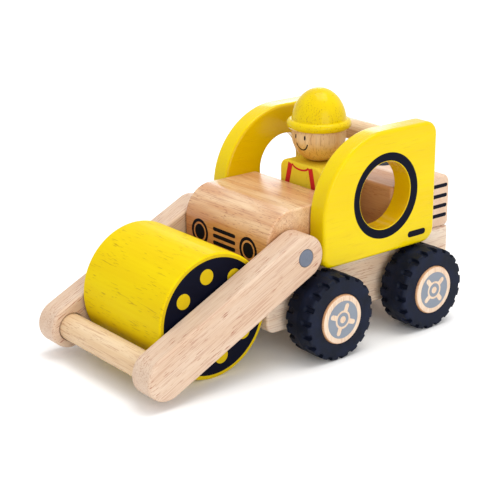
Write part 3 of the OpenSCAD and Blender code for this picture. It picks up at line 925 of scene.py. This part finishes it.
def on_head(u, v, h):
    """u is the angle round the head in degrees, v the height."""
    r = math.sqrt(HEAD_R ** 2 - (v - HEAD_Z) ** 2)
    a = math.radians(u)
    out = Vector((r * math.cos(a), r * math.sin(a), v - HEAD_Z)).normalized()
    return Vector((DRIVER_X, 0, HEAD_Z)) + out * (HEAD_R + h)


# Places and sizes of the prints. A bar is (length, height) and a ring (inner, outer) radius.
DASH_AT, DASH_BAR = (-73.8 * MM, 55.3 * MM), (13.9 * MM, 3.6 * MM)
VENT_X, VENT_BAR = -99.3 * MM, (24 * MM, 2.3 * MM)
VENT_HEIGHTS = [z * MM for z in (74, 67.9, 61.8, 56)]
CAP_AT, CAP_R = (-98 * MM, -5.2 * MM), 6 * MM
GRILLE_Y, GRILLE_BAR = -0.8 * MM, (19.6 * MM, 2.2 * MM)
GRILLE_HEIGHTS = [z * MM for z in (63.6, 59.75, 55.8)]
LAMPS = ((20.0 * MM, 58.8 * MM), (-22.5 * MM, 58.8 * MM))
LAMP_R, LAMP_RING = 4.4 * MM, (5.6 * MM, 7.4 * MM)
DRUM_RING = (6 * MM, 31.9 * MM)
DOTS, DOT_R, DOT_CIRCLE_R, DOT_START = 8, 4.2 * MM, 23.3 * MM, 34
HUB_PRINT_R, HUB_MIDDLE_RING = 10.6 * MM, (2 * MM, 4 * MM)
SPOKE_CIRCLE_R, SPOKE_R, SPOKE_REACH = 5.2 * MM, 1.4 * MM, 7.9 * MM
STRAP_W, STRAP_TOP_Y, STRAP_SPREAD, STRAP_DROP = 3.7 * MM, 8.4 * MM, 7.2 * MM, 30 * MM
NECKLINE_W, NECKLINE_HALF, NECKLINE_DIP, NECKLINE_DROP = 1.1 * MM, 6.6 * MM, 2.4 * MM, 2.3 * MM

# The face, round the head in degrees and up in height.
LOOK = 4.7
EYE_SPREAD, EYE_Z = 13.0, 108.8 * MM
EYE_HALF_W, EYE_HALF_H = 2.1, 1.35 * MM
SMILE_AT, SMILE_Z = LOOK + 4.0, 106.2 * MM
SMILE_HALF_W, SMILE_DIP, SMILE_SWEEP = 15, 4.7 * MM, 78
SMILE_T = 0.76 * MM


def panel_prints():
    for side, word in SIDES:
        face = side * PANEL_HIGH.y
        ring = [circle(*WINDOW_RING, WINDOW_RING_R, 128), circle(*WINDOW, WINDOW_R + WINDOW_EDGE, 128)]
        dash = [capsule(*DASH_AT, *DASH_BAR)]
        make_print(word + "_panel_print", [ring, dash], on_side(face), BLACK_INK, "vehicle")
        vents = [[capsule(VENT_X, z, *VENT_BAR)] for z in VENT_HEIGHTS]
        make_print(word + "_vents_print", vents, on_side(side * HALF_BODY), BLACK_INK, "vehicle")


def cap_print():
    """A dark disc on top of the rear block."""
    def place(u, v, h):
        return Vector((u, v, REAR_HIGH.z + h))
    make_print("filler_cap_print", [[circle(*CAP_AT, CAP_R, 64)]], place, BLACK_INK, "vehicle")


def hood_print():
    """Three grille bars between two round lamps."""
    shapes = [[capsule(GRILLE_Y, z, *GRILLE_BAR)] for z in GRILLE_HEIGHTS]
    inner, outer = LAMP_RING
    for at in LAMPS:
        shapes.append([circle(*at, LAMP_R, 48)])
        shapes.append([circle(*at, outer, 64), circle(*at, inner, 64)])
    make_print("hood_front_print", shapes, on_hood, BLACK_INK, "vehicle")


def drum_prints():
    """A dark ring with eight bare dots on each end of the drum."""
    inner, outer = DRUM_RING
    for side, word in SIDES:
        angles = [math.radians(DOT_START + 360 / DOTS * i) for i in range(DOTS)]
        dots = [circle(DOT_CIRCLE_R * math.cos(a), DOT_CIRCLE_R * math.sin(a), DOT_R, 40) for a in angles]
        disc = [circle(0, 0, outer, 160)] + dots + [circle(0, 0, inner, 48)]

        def place(u, v, h, side=side):
            return Vector((DRUM_AT[0] + u, side * (DRUM_HIGH.y + h), DRUM_AT[1] + v))
        make_print(word + "_drum_print", [disc], place, BLACK_INK, "roller_drum")


def spoked_ring():
    """Outline of the hub print's bare ring with four short rounded spokes."""
    foot = math.degrees(math.asin(SPOKE_R / SPOKE_CIRCLE_R))
    points = []
    for quarter in range(4):
        base = 90 * quarter
        turn = Matrix.Rotation(math.radians(base), 2)
        tip = [turn @ Vector(p) for p in arc(SPOKE_REACH, 0, SPOKE_R, -90, 90, 10)]
        points += [(p.x, p.y) for p in tip]
        points += arc(0, 0, SPOKE_CIRCLE_R, base + foot, base + 90 - foot, 8)
    return points


def hub_prints():
    inner, outer = HUB_MIDDLE_RING
    for wheel, side, tread_turn, print_turn in WHEELS:
        low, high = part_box(wheel + "_hub")
        at = ((low.x + high.x) / 2, (low.z + high.z) / 2)
        shapes = [[circle(0, 0, HUB_PRINT_R), spoked_ring()],
                  [circle(0, 0, outer, 48), circle(0, 0, inner, 32)]]
        make_print(wheel + "_hub_print", shapes, on_wheel(*at, side, print_turn), GREY_INK,
                   wheel.split("_")[0] + "_wheelset")


def straps_print():
    """Two slanted straps and a curved neckline on the driver's front."""
    top = BODY_HIGH.z - BODY_EDGE
    steps = 8
    straps = []
    for side, word in SIDES:
        line = [(side * (STRAP_TOP_Y + STRAP_SPREAD * i / steps), top - STRAP_DROP * i / steps)
                for i in range(steps + 1)]
        straps.append([stroke(line, STRAP_W)])
    neckline = [(NECKLINE_HALF * math.sin(a), top + NECKLINE_DIP * (1 - math.cos(a)) - NECKLINE_DROP)
                for a in [math.pi / 2 * (i / 10 - 1) for i in range(21)]]
    straps.append([stroke(neckline, NECKLINE_W)])
    make_print("driver_straps_print", straps, on_front(BODY_HIGH.x), RED_INK, "driver")


def face_print():
    """Two oval eyes and a smile."""
    shapes = []
    for side, word in SIDES:
        middle = LOOK + side * EYE_SPREAD
        shapes.append([[(middle + EYE_HALF_W * math.cos(a), EYE_Z + EYE_HALF_H * math.sin(a))
                        for a in [math.pi * i / 10 for i in range(20)]]])

    def lip(a, out):
        """A point of the smile's edge, out from its middle line."""
        wide = SMILE_HALF_W + math.degrees(out / HEAD_R)
        return (SMILE_AT + wide * math.sin(a), SMILE_Z - (SMILE_DIP + out) * math.cos(a))

    sweep = [math.radians(SMILE_SWEEP * (i / 12 - 1)) for i in range(25)]
    shapes.append([[lip(a, SMILE_T / 2) for a in sweep] + [lip(a, -SMILE_T / 2) for a in sweep[::-1]]])
    make_print("driver_face_print", shapes, on_head, BLACK_INK, "driver")


panel_prints()
cap_print()
hood_print()
drum_prints()
hub_prints()
straps_print()
face_print()


# ------------------------------------------------------------ floor, lights

def floor_material():
    n = Nodes("floor_paper")
    place = n.along((1, 0, 0), 1)
    cloud = n.spread(n.noise(place, 6, 3, 0.5), 0.3, 0.7)
    n.put(n.shader.inputs["Base Color"], n.mix(cloud, (0.96, 0.96, 0.96, 1), (0.98, 0.98, 0.98, 1)))
    n.set(Roughness=0.9, Specular_IOR_Level=0.1)
    return n.material


def make_floor():
    bm = bmesh.new()
    bmesh.ops.create_grid(bm, x_segments=8, y_segments=8, size=6)
    mesh = bpy.data.meshes.new("floor")
    bm.to_mesh(mesh)
    bm.free()
    mesh.materials.append(floor_material())
    floor = bpy.data.objects.new("floor", mesh)
    bpy.context.scene.collection.objects.link(floor)


def area_light(name, location, target, size, watts):
    data = bpy.data.lights.new(name, "AREA")
    data.shape = "SQUARE"
    data.size = size
    data.energy = watts
    lamp = bpy.data.objects.new(name, data)
    lamp.location = location
    lamp.rotation_euler = (Vector(target) - Vector(location)).to_track_quat("-Z", "Y").to_euler()
    bpy.context.scene.collection.objects.link(lamp)


def make_world(strength):
    world = bpy.data.worlds.new("studio")
    world.use_nodes = True
    sky = world.node_tree.nodes["Background"]
    sky.inputs["Color"].default_value = (1, 1, 1, 1)
    sky.inputs["Strength"].default_value = strength
    bpy.context.scene.world = world


# The view of the photograph, solved from its edges: angles in degrees, lens and sensor in mm.
VIEW_AZIMUTH, VIEW_ELEVATION = 50.31, 18.296
VIEW_DISTANCE = 747.08 * MM
VIEW_TARGET = Vector((-3.36 * MM, 0, 56.16 * MM))
VIEW_LENS, VIEW_SENSOR = 96.505, 36
VIEW_SHIFT = (-0.0304, -0.0292)


def make_camera():
    azimuth, elevation = math.radians(VIEW_AZIMUTH), math.radians(VIEW_ELEVATION)
    away = Vector((math.cos(azimuth) * math.cos(elevation), math.sin(azimuth) * math.cos(elevation),
                   math.sin(elevation)))
    data = bpy.data.cameras.new("camera")
    data.lens = VIEW_LENS
    data.sensor_width = VIEW_SENSOR
    data.shift_x, data.shift_y = VIEW_SHIFT
    data.clip_start = 0.01
    camera = bpy.data.objects.new("camera", data)
    camera.location = VIEW_TARGET + away * VIEW_DISTANCE
    camera.rotation_euler = (-away).to_track_quat("-Z", "Y").to_euler()
    bpy.context.scene.collection.objects.link(camera)
    bpy.context.scene.camera = camera


make_floor()
make_world(0.9)
area_light("key", (0.35, 1.5, 0.5), (0, 0, 0.05), 0.9, 7.5)
area_light("top", (-0.2, 0.1, 1.5), (0, 0, 0), 1.0, 13)
area_light("back", (-1.22, -1.46, 0.75), (0, 0, 0.08), 0.5, 2.2)
make_camera()
bpy.context.scene.view_settings.view_transform = "Standard"
